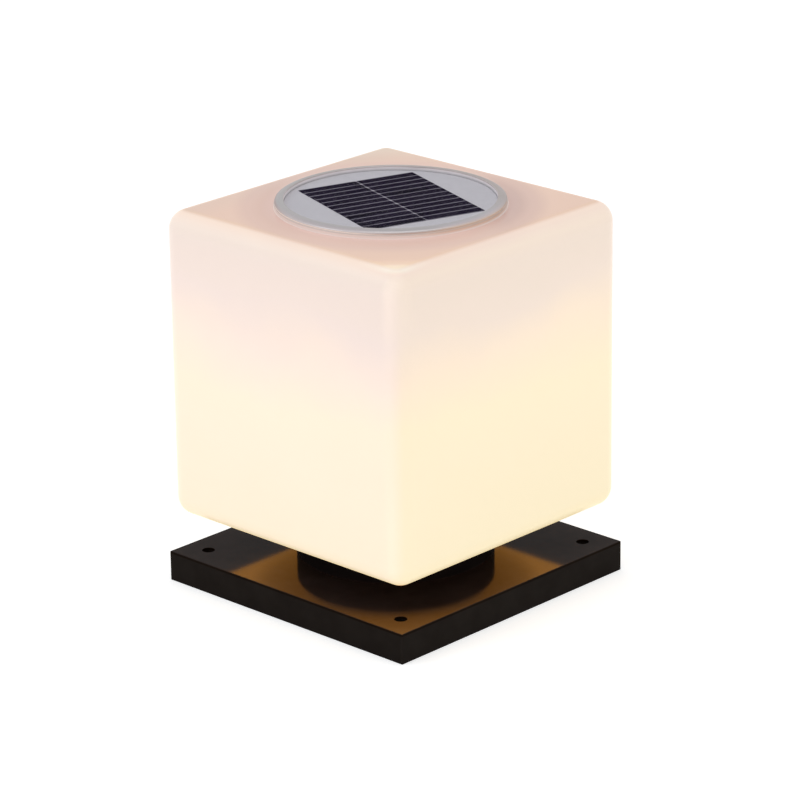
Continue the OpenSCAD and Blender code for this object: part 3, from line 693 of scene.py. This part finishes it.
def shade():
    """The opal cube with its neck, its raised rim and the notches of its bayonet."""
    straight = half_w - edge_r
    places = shade_places()

    def spot(quarter, aside, turn, corner):
        if turn is None:
            point = Vector((straight + corner, aside, 0))
        else:
            point = Vector((straight + corner * math.cos(turn), straight + corner * math.sin(turn), 0))
        return Matrix.Rotation(math.pi / 2 * quarter, 3, "Z") @ point

    headings = [math.degrees(math.atan2(p.y, p.x)) % 360 for p in (spot(*w, edge_r) for w in places)]

    def square(corner, z):
        return [spot(*w, corner) + Vector((0, 0, z)) for w in places]

    def circle(radius, z, in_notch=0.0):
        points = []
        for heading in headings:
            notched = any(abs(heading - turn) < notch_half for turn in notch_turns)
            r = radius + (in_notch if notched else 0.0)
            angle = math.radians(heading)
            points.append(Vector((r * math.cos(angle), r * math.sin(angle), z)))
        return points

    def arc(steps):
        return [math.pi / 2 * k / steps for k in range(steps + 1)]

    inner_r = edge_r - shade_wall
    foot = 0.4 * MM
    neck_fillet = 1.6 * MM
    rim_fillet = 0.9 * MM
    rim_edge = 0.6 * MM
    lip = 0.5 * MM
    notch = notch_r - hole_r
    ceiling = shade_high - shade_wall
    bottom = shade_low + shade_wall
    rings = [circle(neck_r - foot, neck_foot), circle(neck_r, neck_foot + foot)]
    rings += [circle(neck_r + neck_fillet * (1 - math.cos(t)), shade_low - neck_fillet * (1 - math.sin(t)))
              for t in arc(4)]
    rings += [square(edge_r * math.sin(t), shade_low + edge_r * (1 - math.cos(t))) for t in arc(12)]
    rings += [square(edge_r * math.cos(t), shade_high - edge_r * (1 - math.sin(t))) for t in arc(12)]
    rings += [circle(rim_r + rim_fillet * (1 - math.sin(t)), shade_high + rim_fillet * (1 - math.cos(t)))
              for t in arc(4)]
    rings += [circle(rim_r - rim_edge * (1 - math.cos(t)), rim_top - rim_edge * (1 - math.sin(t)))
              for t in arc(4)]
    rings += [circle(hole_r + lip * (1 - math.sin(t)), rim_top - lip * (1 - math.cos(t)), notch)
              for t in arc(3)]
    rings += [circle(hole_r + lip * (1 - math.cos(t)), ceiling + lip * (1 - math.sin(t)), notch)
              for t in arc(3)]
    rings += [square(inner_r * math.sin(t), ceiling - inner_r * (1 - math.cos(t))) for t in arc(8)]
    rings += [square(inner_r * math.cos(t), bottom + inner_r * (1 - math.sin(t))) for t in arc(8)]
    rings += [circle(neck_in_r + lip * (1 - math.sin(t)), bottom - lip * (1 - math.cos(t))) for t in arc(3)]
    rings += [circle(neck_in_r, neck_foot + foot), circle(neck_in_r + foot, neck_foot)]
    bm = bmesh.new()
    join_rings(bm, rings, closed=True)
    for turn in notch_turns:
        for start in (turn + notch_half, turn - lock_turn - notch_half - stop_turn):
            add_stop(bm, start, ceiling)
    finish_piece("shade_opal", bm, looks["opal"], "base", ["shade"])


def bezel():
    """The silver ring, with a quarter-round crest outside and a crisp inner edge."""
    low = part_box("bezel_seal")[1].z
    high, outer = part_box("bezel")[1].z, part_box("bezel")[1].x
    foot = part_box("bezel")[0].z
    inner = 65.2 * MM
    skirt = 66.3 * MM
    ledge = 60.7 * MM
    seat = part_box("panel_board")[0].z
    edge = 0.2 * MM
    soft = 0.1 * MM
    steps = 20
    crest = [(inner + edge + (outer - inner - edge) * math.cos(math.pi / 2 * k / steps),
              low + edge + (high - low - edge) * math.sin(math.pi / 2 * k / steps), 0)
             for k in range(steps + 1)]
    corners = [(ledge, foot, soft), (skirt, foot, soft), (skirt, low, soft), (outer - soft, low, 0)]
    corners += crest
    corners += [(inner, high - edge, 0), (inner, seat, 0), (ledge, seat, soft)]
    lathe("bezel_ring", corners, looks["silver_bezel"], "head", ["bezel"], segments=192)


def dressed(name, edge, slot):
    """A CAD node's own shape with its sharp edges softened by edge, in its finish."""
    source = frame["nodes"][name]
    bm = bmesh.new()
    bm.from_mesh(source.data)
    bmesh.ops.remove_doubles(bm, verts=bm.verts, dist=2e-6)
    bmesh.ops.dissolve_limit(bm, angle_limit=flat_angle, verts=bm.verts, edges=bm.edges)
    crisp = [e for e in bm.edges if len(e.link_faces) == 2 and e.calc_face_angle(0) > bevel_angle]
    bmesh.ops.bevel(bm, geom=crisp, offset=edge, segments=2, profile=0.5, affect="EDGES",
                    clamp_overlap=True)
    finish_piece(name + "_finished", bm, looks[slot], source["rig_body"], [name])


# The looks, one for each slot of the record

looks = {
    "cast_black": cast_black(),
    "opal": opal(),
    "silver_bezel": silver(),
    "panel_white": panel_board(),
    "solar_cell": cell_silicon(),
    "ribbon": tinned(),
    "clear_cover": clear_cover(),
    "moulded_grey": moulded("moulded_grey", (0.61, 0.61, 0.59), (0.65, 0.65, 0.63)),
    "silicone_pale": silicone(),
    "rubber_black": rubber(),
    "steel": steel(),
    "board_white": moulded("board_white", (0.80, 0.80, 0.79), (0.86, 0.86, 0.85), 0.4),
    "led": new_material("led", Base_Color=(1.0, 0.82, 0.42), Roughness=0.3,
                        Emission_Color=(1.0, 0.8, 0.5), Emission_Strength=0.6),
    "lens_clear": new_material("lens_clear", Base_Color=(0.93, 0.93, 0.90), Roughness=0.35, Alpha=0.55),
    "board_green": moulded("board_green", (0.02, 0.12, 0.05), (0.035, 0.17, 0.075), 0.4),
    "parts_black": moulded("parts_black", (0.02, 0.02, 0.022), (0.04, 0.04, 0.044)),
    "cell_wrap": moulded("cell_wrap", (0.04, 0.11, 0.36), (0.06, 0.15, 0.45), 0.3),
    "wire_red": moulded("wire_red", (0.42, 0.02, 0.015), (0.55, 0.035, 0.025)),
    "wire_black": moulded("wire_black", grey(0.02), grey(0.035)),
    "wire_white": moulded("wire_white", (0.72, 0.72, 0.71), (0.82, 0.82, 0.81)),
}

slots = {row["node"]: row["material_slot"] for row in frame["record"]["subparts"]}
for name, cad in frame["nodes"].items():
    cad.data.materials.clear()
    cad.data.materials.append(looks[slots[name]])

shade()
bezel()
dressed("base_plate", 0.08 * MM, "cast_black")
dressed("collar", 0.25 * MM, "cast_black")
dressed("housing", 0.20 * MM, "moulded_grey")
dressed("housing_cover", 0.20 * MM, "moulded_grey")
dressed("led_lens", 0.20 * MM, "lens_clear")
dressed("power_button", 0.15 * MM, "rubber_black")


# Floor, lamps, world and camera

def seen_white(tree):
    """One for the rays that show the background, nought for those that light the object."""
    path = node(tree, "LightPath")
    seen = None
    for ray in ("Is Camera Ray", "Is Glossy Ray", "Is Transmission Ray"):
        if seen is None:
            seen = path.outputs[ray]
            continue
        larger = node(tree, "Math", {"operation": "MAXIMUM"})
        tree.links.new(seen, larger.inputs[0])
        tree.links.new(path.outputs[ray], larger.inputs[1])
        seen = larger.outputs["Value"]
    return seen


def floor():
    """A plain white floor that keeps a soft shadow and lets a view from below through. Its own
    light rises outward, so that it fades into the white behind it."""
    lift_near, lift_far = 0.54, 0.62
    near, far = 400 * MM, 1500 * MM
    floor_r = 6000 * MM
    bm = bmesh.new()
    bmesh.ops.create_circle(bm, cap_ends=True, radius=floor_r, segments=64)
    mesh = bpy.data.meshes.new("floor")
    bm.to_mesh(mesh)
    bm.free()
    made = bpy.data.objects.new("floor", mesh)
    bpy.context.scene.collection.objects.link(made)
    material = new_material("floor_white", Base_Color=grey(0.8), Roughness=0.9, Specular_IOR_Level=0.0)
    tree = material.node_tree
    lift = node(tree, "Emission")
    outward = span(material, from_axis(material), lift_near, lift_far, near, far)
    tree.links.new(outward, lift.inputs["Strength"])
    nothing = node(tree, "Emission", Strength=0.0)
    pick = node(tree, "MixShader")
    both = node(tree, "AddShader")
    tree.links.new(seen_white(tree), pick.inputs["Fac"])
    tree.links.new(nothing.outputs["Emission"], pick.inputs[1])
    tree.links.new(lift.outputs["Emission"], pick.inputs[2])
    tree.links.new(shader_of(material).outputs["BSDF"], both.inputs[0])
    tree.links.new(pick.outputs["Shader"], both.inputs[1])
    above = node(tree, "MixShader")
    tree.links.new(node(tree, "NewGeometry").outputs["Backfacing"], above.inputs["Fac"])
    tree.links.new(both.outputs["Shader"], above.inputs[1])
    tree.links.new(node(tree, "BsdfTransparent").outputs["BSDF"], above.inputs[2])
    tree.links.new(above.outputs["Shader"], tree.nodes["Material Output"].inputs["Surface"])
    mesh.materials.append(material)


def world():
    """White where it is seen, and a plain level where it lights."""
    light_level = 0.5
    made = bpy.data.worlds.new("studio")
    bpy.context.scene.world = made
    made.use_nodes = True
    tree = made.node_tree
    light = tree.nodes["Background"]
    light.inputs["Color"].default_value = (1.0, 1.0, 1.0, 1.0)
    light.inputs["Strength"].default_value = light_level
    shown = node(tree, "Background", Strength=1.0)
    shown.inputs["Color"].default_value = (1.0, 1.0, 1.0, 1.0)
    pick = node(tree, "MixShader")
    tree.links.new(seen_white(tree), pick.inputs["Fac"])
    tree.links.new(light.outputs["Background"], pick.inputs[1])
    tree.links.new(shown.outputs["Background"], pick.inputs[2])
    tree.links.new(pick.outputs["Shader"], tree.nodes["World Output"].inputs["Surface"])


def lamp(name, place, size, power, colour):
    """A square soft box that points at the object."""
    data = bpy.data.lights.new(name, "AREA")
    data.shape = "SQUARE"
    data.size = size
    data.energy = power
    data.color = colour
    made = bpy.data.objects.new(name, data)
    made.location = place
    made.rotation_mode = "QUATERNION"
    made.rotation_quaternion = (camera_target - made.location).to_track_quat("-Z", "Y")
    bpy.context.scene.collection.objects.link(made)


def camera():
    """The photograph's own camera, which leans a little."""
    data = bpy.data.cameras.new("camera")
    data.lens = camera_lens
    data.sensor_width = 36
    data.clip_start = 0.1
    data.clip_end = 50
    made = bpy.data.objects.new("camera", data)
    made.location = camera_place
    made.rotation_mode = "QUATERNION"
    aim = (camera_target - camera_place).to_track_quat("-Z", "Y")
    made.rotation_quaternion = aim @ Matrix.Rotation(camera_roll, 3, "Z").to_quaternion()
    bpy.context.scene.collection.objects.link(made)
    bpy.context.scene.camera = made


bpy.context.scene.view_settings.view_transform = "Standard"
floor()
world()
lamp("key", place=Vector((-0.9, -1.6, 1.7)), size=1.2, power=9.5, colour=(0.78, 0.89, 1.0))
lamp("top", place=Vector((0.2, 0.1, 2.2)), size=1.4, power=9, colour=WHITE)
camera()
